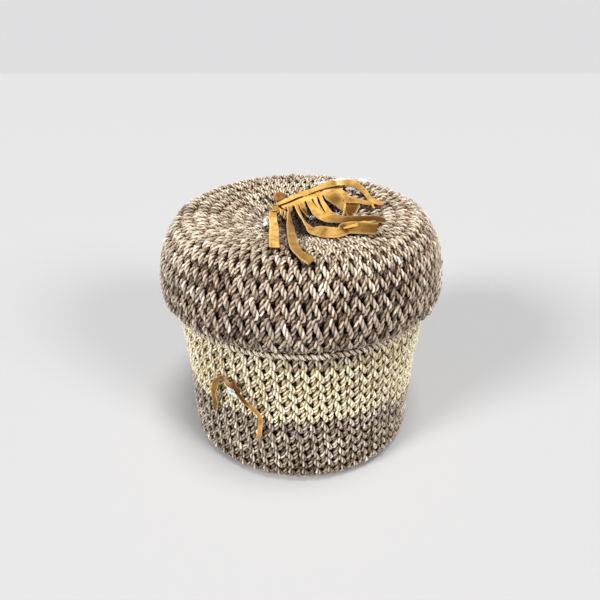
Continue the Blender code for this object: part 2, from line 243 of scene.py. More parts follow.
def closed_cord(path, outward, radius, lay, tone, under, inside, from_u):
    """A three-ply cord swept along a closed path, as arrays of points, faces, uv, tone and "sunk".

    Each ring turns once for each lay of length, from the outward normal on, so that the plies are
    right-handed helices, and is pulled in at the groove between two plies. "sunk" is a point's depth below
    the outer face, with under for the path's own, and at most inside where the cord faces inwards. The cord
    materials darken by "sunk" as painted shade in the hollows.
    """
    ahead = unit(np.roll(path, -1, axis=0) - np.roll(path, 1, axis=0))
    first = unit(outward - ahead * np.sum(outward * ahead, axis=1, keepdims=True))
    second = np.cross(ahead, first)
    length = run_along(np.vstack([path, path[:1]]))
    turns = max(1, round(length[-1] / lay * PLIES)) / PLIES
    turn = TAU * turns * length[:-1] / length[-1]
    sides = np.arange(CORD_SIDES)
    reach = np.where(sides % 3 == 0, GROOVE_REACH, 1.0)
    share = (sides // 3 + PLY_PLACES[sides % 3]) / PLIES
    q = TAU * share + turn[:, None]
    ring = first[:, None, :] * np.cos(q)[..., None] + second[:, None, :] * np.sin(q)[..., None]
    ring = ring * (reach * radius[:, None])[..., None]
    facing = np.sum(ring * outward[:, None, :], axis=2)
    sunk = np.clip((under[:, None] - facing) / SHADE_DEPTH, 0, 1.5)
    inner = np.clip(-1.6 * facing / radius[:, None] - 0.4, 0, 1)
    sunk = sunk + (np.minimum(sunk, inside) - sunk) * inner
    faces, i, k = tube_faces(len(path), CORD_SIDES, True, round(turns * PLIES) % PLIES * 3)
    edge = np.append(share, 1.0)
    uv = corner_uv(length[i], length[i + 1], edge[k], edge[k + 1]) + np.array([from_u, 0.0])
    return (path[:, None, :] + ring).reshape(-1, 3), faces, uv, np.repeat(tone, CORD_SIDES), sunk.ravel()


def cord_mesh(name, cords):
    points, faces, uv, tone, sunk = join(cords)
    return mesh_object(name, points, faces, uv, tone=tone, sunk=sunk)


# -------- knitting

# A row's shape where nothing else is said, with the terms of knit_row. steps are points for each stitch,
# tuck is how far the row keeps from the edge, and drift is the angle at which it starts
ROW = dict(shear=0.06, lean=0.25, depth=0.00225, rough=0.00028, radius=CORD_R, steps=20, tuck=0.0016, drift=0.0,
           lay_over=0.0006, skew=0.2, swell=0.16, edge=0.0, reach=0.0, hold=1.0)


def row_of(at, stitches, height, **changes):
    """One row: its place along the meridian, its stitches, their height and its changes to ROW."""
    return {**ROW, "at": at, "stitches": stitches, "rise": 0.78 * height, **changes}


def bell(value, middle, width):
    return np.exp(-(((value - middle) / width) ** 2))


def wander(rng, stitches, t, size):
    """A value for each stitch of a row, eased by cosines from one stitch to the next."""
    values = np.clip(rng.normal(0, size, stitches), -1.8 * size, 1.8 * size)
    i = np.floor(t).astype(int) % stitches
    share = (1 - np.cos(np.pi * (t % 1))) / 2
    return values[i] * (1 - share) + values[(i + 1) % stitches] * share


def knit_row(line, row, way, rng):
    """The closed path of one row of stocking stitch, with its normals, angles, depths and thicknesses.

    t counts stitches. Across the row the cord runs by t + lean sin 2a (1 - skew sin a) - shear cos a, up the
    row by rise cos a and in by 2 depth |cos a|^(2 hold), with a = 2 pi t. So each stitch shows two legs, the
    left one laid over the right one, and its loops lie behind the next rows, where they swell to fill the
    gaps. In a row at an edge the loops come out to the edge cord.
    """
    n, steps = row["stitches"], row["steps"]
    t = np.arange(n * steps) / steps
    a = TAU * t
    lean = row["lean"] * (1 + wander(rng, n, t, 0.1))
    rise = row["rise"] * (1 + wander(rng, n, t, 0.05))
    across = t + lean * np.sin(2 * a) * (1 - row["skew"] * np.sin(a)) - row["shear"] * np.cos(a)
    across += wander(rng, n, t, 0.03)
    up = rise * np.cos(a) + wander(rng, n, t, 0.00035)
    dip = 2 * np.abs(np.cos(a)) ** (2 * row["hold"])
    out = -CORD_R - row["depth"] * dip - row["lay_over"] * (1 + np.sin(a)) / 2
    out += wander(rng, n, t, row["rough"])
    angle = row["drift"] + way * TAU * across / n
    edge = np.clip(np.cos(a), 0, 1) ** 2
    along = np.clip(row["at"] + up + row["reach"] * edge, line["s"][0] + 0.0015, line["s"][-1] - row["tuck"])
    path, outward = on_line(line, angle, along, out * (1 - row["edge"] * edge))
    thick = row["radius"] * (1 + row["swell"] * (1 + np.cos(2 * a)) / 2 * (1 - row["edge"] * edge))
    return path, outward, angle, -out, thick


def shadow_under_leather(path):
    """The mask of the painted shadow under the fringe: 1 on the line of a strap of the fringe, and by a bell curve 0
    some millimetres from it.
    """
    straps = np.vstack([smooth_route(row[0], 0.002) for row in (LACES[0], LACES[2], [ROOT], *STRIPS)])
    near = np.min([np.hypot(path[:, :1] - part[:, 0], path[:, 1:2] - part[:, 1]).min(axis=1)
                   for part in np.array_split(straps, 40)], axis=0)
    return bell(near, 0, 0.0046) * (path[:, 2] > SEAT_Z)


def knitted(name, line, rows, way, seed, tone_at):
    """One mesh of several rows, darker in the shade of the lid's dimple, leather and rim and at the foot. The
    lid's rows, which run the other way round, lean with it."""
    rng = np.random.default_rng(seed)
    cords = []
    for row in rows:
        path, outward, angle, under, thick = knit_row(line, row, way, rng)
        if way < 0:
            path = slump(path)
            # Painted shade: added depth darkens the lid's knit in its dimple and along the fringe's straps
            away = ((path[:, 0] - 0.0165) / 0.036) ** 2 + ((path[:, 1] - 0.008) / 0.025) ** 2
            under = under + 0.002 * np.exp(-away**2) + 0.0017 * shadow_under_leather(path)
        # Painted shade: added depth darkens the knit near the lid's rim and near the floor
        under = under + 0.0014 * bell(path[:, 2] - RIM_Z, 0.0005, 0.0048)
        under = under + 0.0007 * bell(path[:, 2], 0, 0.02)
        cords.append(closed_cord(path, outward, thick, CORD_LAY, tone_at(angle, row), under, 0.3, row["at"] * 40))
    return cord_mesh(name, cords)


def basket_tone(angle, row):
    """0 for the cream yarn and 1 for the taupe one, with slow drifts of both along the row."""
    az = (np.degrees(angle) + 360) % 360
    drift = 0.12 * np.sin(3 * angle + row["at"] * 300) + 0.08 * np.sin(7 * angle + row["at"] * 710)
    if row["yarn"] == "step":
        return np.clip(np.where((az > 316) | (az < 20), 0.1, 0.95) + drift, 0, 1)
    # The rows under the lid's rim: a little greyer all round, and much greyer at the front, which paints the shade of
    # the lid's rim
    if row["yarn"] == "neck":
        return np.clip(0.15 + 0.55 * bell(az, 275, 22) + drift, 0, 1)
    return np.clip({"cream": 0.04, "taupe": 0.96, "tan": 0.94}[row["yarn"]] + drift, 0, 1)


def lid_tone(angle, row):
    """0 for the pale yarn and 1 for the umber one."""
    drift = 0.16 * np.sin(2 * angle + row["at"] * 200) + 0.12 * np.sin(5 * angle + row["at"] * 530)
    return np.clip(row["tone"] + drift + 0.25 * row["tone"] * np.cos(angle) ** 2, 0, 1)


# Rows of the wall from the mouth down, by their height in millimetres, and of the bottom, by their stitches
WALL_ROWS = (8.8, 8.4, 8.5, 8.7, 9.6, 9.8, 9.8, 9.8, 9.8, 9.6, 9.3, 9.2, 9.2, 9.2, 9.2)
WALL_STITCHES, BOTTOM_STITCHES = 60, (60, 54, 46, 38, 32, 26, 20, 12, 7)
BOTTOM_ROW, ROW_DRIFT = 0.0092, 0.0115
# The yarn of a row above each height; "step" is the row in which it changes, "neck" the rows near the lid,
# a little greyer all round and at the front darker still as painted shade of the lid's rim
YARNS = ((0.06, "cream"), (0.05, "step"), (0.033, "taupe"), (-1.0, "tan"))
NECK_LOW, NECK_HIGH = 0.1085, 0.118


def make_basket():
    line = basket_line()
    at, rows = line["s"][-1], []
    for k, step in enumerate(WALL_ROWS):
        at -= step / 1000
        z = np.interp(at, line["s"], line["z"])
        yarn = "neck" if NECK_LOW < z < NECK_HIGH else next(name for low, name in YARNS if z > low)
        at_mouth = {} if k else {"edge": 0.47, "reach": 0.0014, "tuck": 0.0004}
        rows.append(row_of(at, WALL_STITCHES, step / 1000, drift=ROW_DRIFT * k, yarn=yarn, **at_mouth))
    bottom, band = [], "basket_upper_band"
    for k, stitches in enumerate(BOTTOM_STITCHES, len(rows)):
        at -= BOTTOM_ROW
        bottom.append(row_of(at, stitches, BOTTOM_ROW, drift=ROW_DRIFT * k, rough=0.0, yarn="tan"))
    for name, chosen, seed, slot, node in (
            ("wall_upper_rows", rows[:5], 11, "cord_cream", band),
            ("wall_lower_rows", rows[5:9], 12, "cord_cream", band),
            ("foot_upper_rows", rows[9:12], 13, "cord_taupe", "basket_foot_band"),
            ("foot_lower_rows", rows[12:], 14, "cord_taupe", "basket_foot_band"),
            ("bottom_rows", bottom, 14, "cord_tan", "basket_base")):
        dress(knitted(name, line, chosen, 1, seed, basket_tone), "basket", slot, node)


# Rows of the lid from its hem up: millimetres from the hem, stitches, height in millimetres and tone
LID_ROWS = [(7.0, 72, 12.0, 1.0), (17.0, 72, 13.5, 1.0), (31.0, 72, 15.2, 0.95), (46.3, 72, 15.5, 0.82),
            (61.5, 72, 15.0, 0.62), (75.6, 72, 13.4, 0.5), (88.0, 70, 11.6, 0.5), (99.0, 65, 10.4, 0.38),
            (109.1, 59, 9.8, 0.36), (118.6, 52, 9.4, 0.36), (127.8, 44, 9.2, 0.36), (136.8, 36, 8.9, 0.4),
            (145.4, 29, 8.6, 0.45)]
LID_SWELL = (0.3, 0.75, 0.75, 0.6)
MIDDLE_ROWS = [(154.4, 23), (162.6, 16), (170.6, 9)]


def make_lid():
    line = lid_line()
    whole = line["s"][-1]
    rows = []
    for k, (from_hem, stitches, height, tone) in enumerate(LID_ROWS):
        shape = {"steps": 26, "radius": 0.00204} if height > 11 else {"steps": 22, "radius": 0.00194}
        if k == 0:
            shape.update(edge=0.85, tuck=0.002)
        row = row_of(whole - from_hem / 1000, stitches, height / 1000, shear=0.08, depth=0.0025, rough=0.00045,
                     drift=-0.01 * k, skew=0.28, lay_over=0.0008, swell=LID_SWELL[k] if k < len(LID_SWELL) else 0.0,
                     hold=1.0 + 0.03 * min(k, 8), tone=tone, **shape)
        row["rise"] *= 1 + 0.005 * min(k, 8)
        rows.append(row)
    middle = [row_of(whole - from_hem / 1000, stitches, 0.008, drift=0.3 * k, tone=0.5)
              for k, (from_hem, stitches) in enumerate(MIDDLE_ROWS)]
    for seed, (name, chosen) in enumerate((("lid_hem_rows", rows[:3]), ("lid_side_rows", rows[3:6]),
                                           ("lid_shoulder_rows", rows[6:9]), ("lid_top_rows", rows[9:])), 21):
        dress(knitted(name, line, chosen, -1, seed, lid_tone), "lid", "cord_brown", "lid_crown")
    dress(knitted("lid_middle_rows", line, middle, -1, 31, lid_tone), "lid", "cord_dark", "lid_centre")


def chain_edge(name, body, radius, height, node, turns, seed):
    """A cast-off edge: two cords laid round each other, each a closed helix about the edge's circle."""
    rng = np.random.default_rng(seed)
    count = turns * 18
    t = np.arange(count) / count
    a, stitch = TAU * t, t * turns
    tone = np.clip(0.12 + 0.2 * np.sin(3 * a + 1), 0, 1)
    outward = round_about(1, a, 0.0)
    cords = []
    for strand in range(2):
        q = -TAU * turns * t + np.pi * strand
        reach = 0.00128 * (1 + 0.1 * np.sin(5 * a + strand))
        r = radius + reach * np.cos(q) + wander(rng, turns, stitch, 0.00016)
        z = height + 1.15 * reach * np.sin(q) + wander(rng, turns, stitch, 0.0002)
        path = round_about(r, a, z)
        thick = 0.00134 * (1 + wander(rng, turns, stitch, 0.1))
        # Painted shade: a strand is darker the further in it lies from the edge's outer face
        under = 0.0024 - reach * np.cos(q)
        cords.append(closed_cord(path, outward, thick, EDGE_LAY, tone, under, 0.16, 0.7 * strand))
    dress(cord_mesh(name, cords), body, "cord_edge", node)


# -------- leather

def in_metres(rows):
    """The rows of straps with their routes as points in metres."""
    return [(np.reshape(route, (-1, 2)) / TENTHS, *rest) for route, *rest in rows]


# Straps. Each row starts with a route in tenths of a millimetre, to the right and back from the lid's
# middle, or to the right and up from the tie's knot: right, back, right, back ... Then come the width and the
# lift in tenths of a millimetre, the twist in degrees, and the cup and the tone in hundredths, each as one
# number or as stations: the number at the start, percent of the route, number ... and the one at the end
# The tone mixes in the rust colour: partly the hide's own darker patches, partly painted shade on straps turned on
# edge and on straps that lie in the shade of others
TIE = in_metres([
    ((-53, 9, -80, 24, -120, 2, -162, -70, -180, -142, -184, -206, -200, -278, -236, -380), (24, 18, 36, 34, 60,
     60, 80, 82, 60, 14), (-2, 20, 6, 60, 8, -2), (-30, 25, 10, 50, -14, 10), (12, 35, 30, 80, 28, 10), (100,
     20, 80, 40, 70, 70, 80, 90)),
    ((30, -49, 57, -81, 98, -128, 136, -159, 172, -197, 197, -240, 204, -299, 195, -381, 173, -470), (30, 30, 30,
     55, 30, 80, 40, 36), (4, 20, 10, 60, 4, 0), (56, 30, 44, 55, 26, 75, -24, 6), (30, 50, 26, 12), (130, 15, 110,
     35, 60, 60, 40, 85, 20, 50)),
    ((-76, 34, -54, 18, -30, -6, 2, -20, 36, -16, 70, 2), (34, 25, 62, 45, 60, 62, 42, 80, 26, 10), (0, 40, 16,
     70, 12, -34), (-20, 50, 0, 30), -14, (80, 30, 35, 50, 45, 64, 100, 100), 0.0006),
    ((12, 30, 34, 6, 52, -26, 58, -58), (16, 40, 32, 70, 32, 20), (0, 40, 24, 4), (0, 30), -20, (90, 50, 120, 90),
     0.0005)])
LACES = in_metres([
    ((-221, 303, -137, 382, -32, 462, 44, 500, 100, 524, 174, 560, 255, 584, 330, 586, 398, 572, 471, 524, 522, 440,
     556, 343, 576, 227, 582, 140, 588, 56), (30, 10, 44, 16, 38, 20, 42, 25, 64, 30, 44, 40, 56, 46, 72, 50, 54,
     58, 60, 70, 46, 86, 36, 14), (12, 25, 10, 44, 8, 60, 12, 72, 6, 0), (0, 25, -8, 44, -24, 50, -10, 58, -40,
     70, -34, 86, -20, 0), (10, 40, -12, 48, 10, 60, -16, 80, 16, 5), (25, 15, 10, 30, 25, 42, 35, 47.5, 75, 50, 0,
     60, 30, 80, 40, 92, 50, 30)),
    ((560, 225, 592, 168, 632, 118, 668, 82), (22, 40, 48, 80, 44, 14), (6, 50, 10, 0), (-30, -10), 0, (50, 50, 20,
     40)),
    ((-245, 165, -236, 40, -220, -119, -203, -400, -185, -667, -178, -760), (66, 30, 74, 70), (14, 30, 8, 2), (6,
     40, -5, 4), 4, (10, 30, 0, 10)),
    ((-235, 385, -195, 445, -120, 470), (44, 30, 82, 60, 64, 12), (0, 40, -22, -6), (-16, 40, -44, -20), (0, 50, 10,
     10), (30, 50, 50, 100))])
STRIPS = in_metres([
    ((-107, 223, -100, 92, -88, -83, -70, -450, -43, -780, 0, -900, 60, -950), (74, 5, 70, 10, 44, 20, 54, 30, 64,
     68), (0, 12, 12, 35, 6, 80, 3, 16), (0, 11, 56, 20, 34, 32, 4, 60, -6, 90, 6, 0), (0, 20, -12, 50, 6, 5), (10,
     10, 70, 25, 80, 45, 60, 70, 55, 75)),
    ((-34, 250, -10, 150, 18, 53, 60, -70, 90, -155, 128, -260, 181, -380, 242, -425, 299, -400, 350, -370,
     402, -405, 460, -450, 530, -490), (54, 10, 46, 34, 56, 50, 80, 64, 86, 76, 78, 79, 98, 92), (0, 12, 14, 38, 10,
     50, -10, 68, -12, 76.5, -16, 80, -8, -12), (0, 10, 40, 28, 50, 38, 20, 48, -36, 56, -52, 68, -56, 76, -54,
     82, -48, -46), 5, (10, 20, 35, 40, 50, 50, 36, 64, 52, 72, 45, 76.5, 60, 78.5, 110, 83, 72, 95)),
    ((14, 300, 34, 240, 56, 190, 78, 150), (58, 45, 50, 72, 26, 12), 0, (0, 10), 10, (10, 35, 40, 60, 120, 140)),
    ((93, 300, 135, 190, 190, 97, 255, 20, 338, -58, 466, -150, 546, -205, 622, -250), (58, 7, 50, 20, 58, 30, 76,
     50, 82, 64, 60, 85, 54, 95, 52, 46), (8, 25, 22, 50, 12, 75, 0, 90, -4, -12), (0, 25, -8, 48, -26, 60, -44,
     75, -52, 90, -48, -30), (2, 40, -10, 70, -20, -20), (15, 30, 15, 45, 25, 56, 65, 70, 90, 85, 100, 100)),
    ((134, 350, 152, 290, 172, 225, 190, 170), (42, 45, 30, 36), 6, (0, 10), 10, (10, 60, 25, 50)),
    ((184, 360, 206, 280, 232, 185, 262, 90), (41, 30, 33, 60, 43, 56), (10, 60, 16, 4), (0, -8), 12, (15, 60, 20,
     45)),
    ((268, 400, 290, 350, 322, 278, 346, 200, 352, 150), (110, 30, 122, 52, 102, 76, 70, 20), (10, 40, 26, 70, 24,
     6), (0, 30, -10, 60, -14, -10), (0, 35, -12, 70, -14, 0), (20, 25, 40, 42, 80, 62, 90, 80, 70, 70)),
    ((376, 352, 400, 285, 438, 245, 493, 205, 535, 165, 576, 118), (46, 14, 60, 35, 72, 50, 58, 68, 40, 88, 34, 14),
     (10, 40, 14, 60, 12, 6), (0, 30, -20, 50, -34, 70, -46, 90, -40, -20), (5, 50, 16, 10), (15, 30, 35, 50, 55,
     68, 45, 86, 50, 70))])
FOLDS = in_metres([
    ((388, 330, 378, 270, 369, 193, 357, 125, 338, 40), (10, 30, 22, 60, 16, 20), (10, 50, 8, 0), (40, 60), 0, (20,
     60, 10, 40)),
    ((432, 256, 426, 200, 413, 140, 400, 82), (146, 40, 136, 80, 106, 50), (-2, 50, -12, -24), (0, 8), 10, (90,
     50, 100, 100)),
    ((277, -372, 345, -395, 420, -390, 490, -360, 548, -325), (3, 30, 22, 62, 36, 84, 16, 3), (30, 50, 36, 30), -40,
     0, (20, 50, 0, 20))])
ROOT = np.reshape((-140, 265, -74, 315, -31, 348, 25, 388, 88, 415, 139, 435, 183, 450, 250, 462, 330, 462,
                  400, 455), (-1, 2)) / TENTHS
STARTS = np.array([40, 112, 177, 247, 308, 358, 447, 535]) / TENTHS
DROPS = np.array([34, 34, 36, 34, 34, 34, 34, 44]) / TENTHS


def smooth_route(points, step):
    """Points about a step apart on the Catmull-Rom curve through a route's own points."""
    p = np.array(points, float)
    ends = np.vstack([2 * p[0] - p[1], p, 2 * p[-1] - p[-2]])
    made = []
    for a, b, c, d in zip(ends, ends[1:], ends[2:], ends[3:]):
        count = max(1, round(float(np.linalg.norm(c - b)) / step))
        t = (np.arange(count) / count)[:, None]
        made.append((2 * b + (c - a) * t + (2 * a - 5 * b + 4 * c - d) * t**2 + (3 * b - a - 3 * c + d) * t**3) / 2)
    return np.vstack([*made, p[-1:]])


def eased(share, stations, parts):
    """A number, or the value of stations at some shares of the way, in parts of 1."""
    if isinstance(stations, (int, float)):
        return np.full(len(share), stations / parts)
    percent, value = np.reshape([0, *stations[:-1], 100, stations[-1]], (-1, 2)).T
    return ease(share, percent / 100, value / parts)


def strap(surface, route, width, lift=0, twist=0, cup=0, tone=0, step=0.0012, thick=LEATHER):
    """A leather strap carried along a route over a surface.

    Its section is S x + N y, with x = s w/2, y = +-(t/2) sqrt(1 - s^4) + cup w (s^2 - 1/3), s from -1 to 1, and
    S and N the side and the normal turned by the twist about the route. The lift rises by half the width
    times the sine of the twist, so that a strap on edge stands on the surface. Both ends are cut square.
    """
    flat = smooth_route(route, step)
    share = run_along(flat)
    share = share / share[-1]
    wide, turn = eased(share, width, TENTHS), np.radians(eased(share, twist, 1))
    high = SKIN_GAP + thick / 2 + eased(share, lift, TENTHS) + np.abs(np.sin(turn)) * wide / 2
    centre, normal = surface(flat[:, 0], flat[:, 1], high)
    return strap_body(centre, normal, wide, turn, eased(share, cup, 100), eased(share, tone, 100), thick)


def strap_body(centre, normal, wide, turn, cup, tone, thick, around=8, closed=False):
    """The strap's skin along a line of points, with its section as in strap and both ends filled."""
    count, n = len(centre), 2 * around
    ahead = unit(np.roll(centre, -1, axis=0) - np.roll(centre, 1, axis=0) if closed
                 else np.gradient(centre, axis=0))
    side = unit(np.cross(ahead, normal))
    upper = np.cross(side, ahead)
    c, s = np.cos(turn)[:, None], np.sin(turn)[:, None]
    side, upper = side * c + upper * s, upper * c - side * s
    span = -np.cos(np.pi * (np.arange(around) + 0.5) / around)
    rise = np.sqrt(1 - span**4)
    ring_s, ring_y = np.append(span, span[::-1]), np.append(rise, -rise[::-1])
    soft = np.ones(count)
    if not closed:
        soft[[0, -1]] = 0.55
    y = ring_y * (thick / 2) * soft[:, None] + (cup * wide)[:, None] * (ring_s**2 - 1 / 3)
    x = ring_s * wide[:, None] / 2
    points = centre[:, None, :] + side[:, None, :] * x[..., None] + upper[:, None, :] * y[..., None]
    faces, i, k = tube_faces(count, n, closed)
    gone = run_along(centre)
    gone = np.append(gone, gone[-1] + (gone[-1] - gone[-2]))
    v = (ring_s + 1) / 2
    uv = corner_uv(gone[i], gone[i + 1], v[k], v[(k + 1) % n])
    if not closed:
        k = np.arange(around - 1)
        cap = np.stack([k, n - 1 - k, n - 2 - k, k + 1], axis=1)
        cap = np.concatenate([cap, cap[:, ::-1] + (count - 1) * n])
        faces = np.concatenate([faces, cap])
        uv = np.concatenate([uv, np.tile([[gone[0], 0.5]], (len(cap) * 4, 1))])
    # "edge" is near 1 only at the strap's two sides, where the suede paints its edge highlight
    return {"points": points.reshape(-1, 3), "faces": faces, "uv": uv, "tone": np.repeat(tone, n),
            "edge": np.tile(np.abs(ring_s) ** 8, count), "line": centre}


def leather_piece(name, straps, body, *replaced, slot="leather_ochre"):
    """One object from several straps, each with its faces turned outwards."""
    parts = []
    for skin in straps:
        points, faces, uv = skin["points"], skin["faces"], skin["uv"].reshape(-1, 4, 2)
        a, b, c, d = (points[faces[:, k]] for k in range(4))
        if np.sum(a * np.cross(b, c)) + np.sum(a * np.cross(c, d)) < 0:
            faces, uv = faces[:, ::-1], uv[:, ::-1]
        parts.append((points, faces, uv.reshape(-1, 2), skin["tone"], skin["edge"]))
    points, faces, uv, tone, edge = join(parts)
    return dress(mesh_object(name, points, faces, uv, tone=tone, edge=edge), body, slot, *replaced)


def make_tie():
    """A thong drawn through the wall: a short loop over the hole, and two hanging tails."""
    left, right, loop, pinch = (strap(on_wall, *row) for row in TIE)
    knot = leather_piece("tie_loop", [loop, pinch], "basket", "tie_knot", slot="leather_rust")
    first = leather_piece("tie_left", [left], "basket", "tie_tail_left")
    second = leather_piece("tie_right", [right], "basket", "tie_tail_right")


def root_places(distance):
    """Places at distances along the line where the strips begin, and its directions there."""
    line = smooth_route(ROOT, 0.0025)
    gone = run_along(line)
    ways = np.gradient(line, gone, axis=0)
    place, way = (np.stack([np.interp(distance, gone, p[:, k]) for k in (0, 1)], axis=-1) for p in (line, ways))
    return place, unit(way)


def thong_knot(place, size=0.00115, width=0.0024, tone=0.5):
    """A knot of flat thong on the lid: the trefoil of radius size (2 + cos 3t) at angle 2t, size sin 3t high."""
    t = TAU * np.arange(72) / 72
    reach = size * (2 + np.cos(3 * t))
    high = SKIN_GAP + size * 1.55 + size * np.sin(3 * t)
    centre, normal = on_lid(place[0] + reach * np.cos(2 * t), place[1] + reach * np.sin(2 * t), high)
    ones = np.ones(72)
    tilt = 0.5 * np.sin(3 * t + 0.6)
    return strap_body(centre, normal, width * ones, tilt, 0 * ones, tone * ones, THONG, 6, closed=True)


def make_fringe():
    """One hide cut into eight strips, a lace over its uncut band, and the lace's knot and two tails."""
    bodies = []
    for start, drop, (route, *rest) in zip(STARTS, DROPS, STRIPS):
        root, way = root_places(start)
        back = root + np.array([-way[1], way[0]]) * (BAND - drop)
        bodies.append(strap(on_lid, np.vstack([back, root, route]), *rest))
    bodies += [strap(on_lid, *fold) for fold in FOLDS]
    wide = 8 * STRIP + 7 * SLIT
    root, way = root_places(np.linspace(0, wide, 30))
    across = np.stack([-way[:, 1], way[:, 0]], axis=1)
    band = strap(on_lid, root + across * 0.003, (56, 90, 56, 22), thick=LEATHER + 0.0004, tone=15)
    # The hide's back edge under the lace, in the full rust tone: partly the hide, partly painted shade of the gap
    # between the lace and the band
    hem = strap(on_lid, root + across * 0.008, (50, 90, 50, 20), lift=-10, tone=100)
    hide = leather_piece("fringe_strips", bodies + [band, hem], "lid", "fringe_hide")

    lace, leaf, front, behind = (strap(on_lid, *row) for row in LACES)
    top = leather_piece("fringe_top_lace", [lace], "lid", "fringe_lace")
    flap = leather_piece("lace_leaf", [leaf], "lid")
    tail = leather_piece("lace_long_tail", [front], "lid", "lace_front_tail")
    end = leather_piece("lace_short_tail", [behind], "lid", "lace_back_tail", slot="leather_rust")
    wraps, (x, y) = [thong_knot(KNOT_PLACE)], KNOT_PLACE
    for k, tone in enumerate((20, 100, 30, 100)):
        route = [(x + 0.0024 + 0.0022 * k, y + 0.0046 - 0.001 * k),
                 (x + 0.005 + 0.002 * k, y + 0.0002 - 0.002 * k),
                 (x + 0.0054 + 0.0014 * k, y - 0.0056 - 0.0024 * k)]
        wraps.append(strap(on_lid, route, 13, (0, 50, 12, 0), 40, 0, tone, 0.0006))
    knot = leather_piece("lace_knot", wraps, "lid", "fringe_knot")


# -------- padding

def ball_grid(n):
    """Points of a unit ball as a cube's faces pushed out to it, welded, and its faces."""
    side = np.tan(np.linspace(-np.pi / 4, np.pi / 4, n + 1))
    a, b = np.meshgrid(side, side, indexing="ij")
    one = np.ones_like(a)
    sheets = [(one, a, b), (-one, b, a), (b, one, a), (a, -one, b), (a, b, one), (b, a, -one)]
    points = unit(np.concatenate([np.stack(sheet, axis=-1).reshape(-1, 3) for sheet in sheets]))
    i, k = np.meshgrid(np.arange(n), np.arange(n), indexing="ij")
    corner = i * (n + 1) + k
    quad = np.stack([corner, corner + n + 1, corner + n + 2, corner + 1], axis=-1).reshape(-1, 4)
    quads = np.concatenate([quad + s * (n + 1) ** 2 for s in range(6)])
    _, keep, back = np.unique(np.round(points, 6), axis=0, return_index=True, return_inverse=True)
    return points[keep], back.reshape(-1)[quads]


def tuft(place, normal, size, rng):
    """A lump of batting: an ellipsoid of some half sizes, swollen by waves of random direction."""
    points, faces = ball_grid(12)
    swell = np.zeros(len(points))
    for scale, gain in ((2.6, 0.2), (5.5, 0.11), (11.0, 0.06)):
        for _ in range(4):
            wave = rng.normal(0, 1, 3) * scale
            swell += gain / 2 * np.sin(points @ wave + rng.uniform(0, TAU))
    across = unit(np.cross(normal, [0.3, 1.0, 0.2]))
    shaped = points * (1 + swell)[:, None] * np.asarray(size)[None, :]
    return place + shaped @ np.stack([across, np.cross(normal, across), normal]), faces


def wisps(places, normals, length, thick, rng, bend=0.5):
    """Loose fibres: three-sided threads that leave the surface at a slant and curl."""
    count, steps = len(places), 7
    lean = rng.normal(0, 1, (count, 3))
    lean = unit(lean - normals * np.sum(lean * normals, axis=1, keepdims=True))
    reach = length * rng.uniform(0.5, 1.3, count)[:, None, None]
    t = np.linspace(0, 1, steps)[None, :, None]
    curl = rng.normal(0, bend, (count, 1, 3))
    line = (places[:, None, :] + lean[:, None, :] * t * reach * 0.8
            + normals[:, None, :] * reach * 0.55 * np.sin(np.pi * 0.8 * t) + curl * reach * t**2 * 0.5)
    ahead = unit(np.gradient(line, axis=1))
    first = np.cross(ahead, normals[:, None, :] + 0.01)
    first /= np.linalg.norm(first, axis=2, keepdims=True) + 1e-9
    second = np.cross(ahead, first)
    q = (TAU * np.arange(3) / 3)[:, None]
    taper = thick * (1 - 0.7 * t)[..., None]
    ring = line[:, :, None, :] + taper * (first[:, :, None, :] * np.cos(q) + second[:, :, None, :] * np.sin(q))
    faces = tube_faces(steps, 3)[0] + np.arange(count)[:, None, None] * steps * 3
    return ring.reshape(-1, 3), faces.reshape(-1, 4)


# Lumps of batting on the lid: the place and the half sizes, in tenths of a millimetre
LUMPS = np.array([(-286, 100, 18, 50, 12), (-280, 10, 20, 46, 14), (230, 660, 120, 14, 20), (400, 690, 110, 16, 26),
                  (560, 680, 60, 16, 22), (440, 530, 44, 14, 14), (296, 150, 18, 16, 18), (500, 440, 14, 10, 8),
                  (90, 180, 14, 10, 10), (440, 20, 16, 16, 14)]) / TENTHS
WISPS_A_LUMP = 26


def make_pad():
    """The round pad, a dimpled crown over a nearly flat bottom, closed by faces round its two middles."""
    swell = CREST_R + (LID_R - CREST_R - PAD_INSET) * np.sin(np.linspace(0, np.pi / 2, 18)[1:])
    radius = np.append(np.linspace(0, CREST_R, 26)[1:], swell)
    high = crown_height(radius, PAD_INSET)
    keep = high > SEAT_Z + 0.0015
    radius, high = radius[keep], high[keep]
    low_r = np.append([radius[-1], radius[-1] - 0.0012], radius[-1] * np.array([0.8, 0.5, 0.2]))
    low_z = SEAT_Z + np.array([0.0008, 0.0002, 0.0004, 0.0009, 0.0012])
    rr, zz = np.append(radius, low_r)[:, None], np.append(high, low_z)[:, None]
    n, turns = 96, np.linspace(0, TAU, 97)[:-1]
    points = round_about(rr, turns, zz).reshape(-1, 3)
    top, bottom, end = len(points), len(points) + 1, (len(rr) - 1) * n
    points = np.vstack([points, [0, 0, crown_height(0.0, PAD_INSET)], [0, 0, SEAT_Z + 0.0013]])
    k = np.arange(0, n, 2)
    after = (k + 2) % n
    faces = np.concatenate([tube_faces(len(rr), n)[0][:, [0, 3, 2, 1]],
                            np.stack([0 * k + top, k, k + 1, after], axis=1),
                            np.stack([0 * k + bottom, end + after, end + k + 1, end + k], axis=1)])
    pad = mesh_object("lid_pad", slump(points), faces)
    # The pad's dark brown cover is painted shade: it darkens the gaps between the lid's stitches
    dress(pad, "lid", "padding_white", "lid_padding", look="shaded pad cloth")


